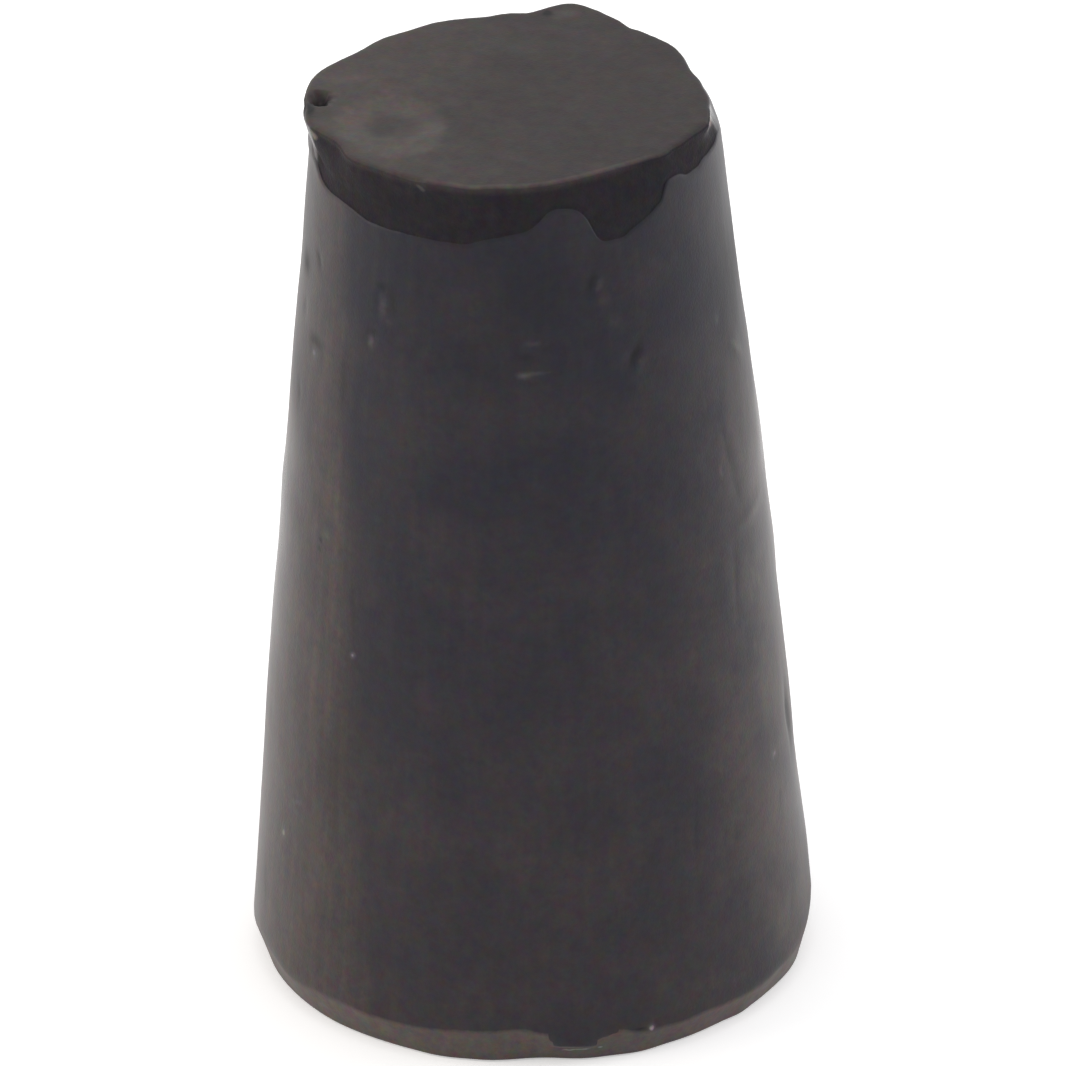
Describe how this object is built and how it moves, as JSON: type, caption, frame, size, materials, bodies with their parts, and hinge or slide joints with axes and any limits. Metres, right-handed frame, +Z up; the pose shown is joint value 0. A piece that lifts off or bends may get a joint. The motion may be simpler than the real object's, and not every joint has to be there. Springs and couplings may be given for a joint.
{
  "type": "rubber stopper",
  "caption": "Solid tapered rubber stopper with a bevelled large end and an off-centre, torn rim at its small end, for closing the neck of a tube or flask.",
  "frame": {"origin": "centre of the large face, on the plane that the stopper stands on", "axes": "+Z up the taper's axis towards the small end, -Y towards the front, +X to the right"},
  "size_m": [0.015, 0.015, 0.025],
  "materials": {
    "black_rubber": "dull black rubber with a faint grey-brown bloom"
  },
  "bodies": {
    "root": {"stopper": "black_rubber"}
  },
  "joints": []
}
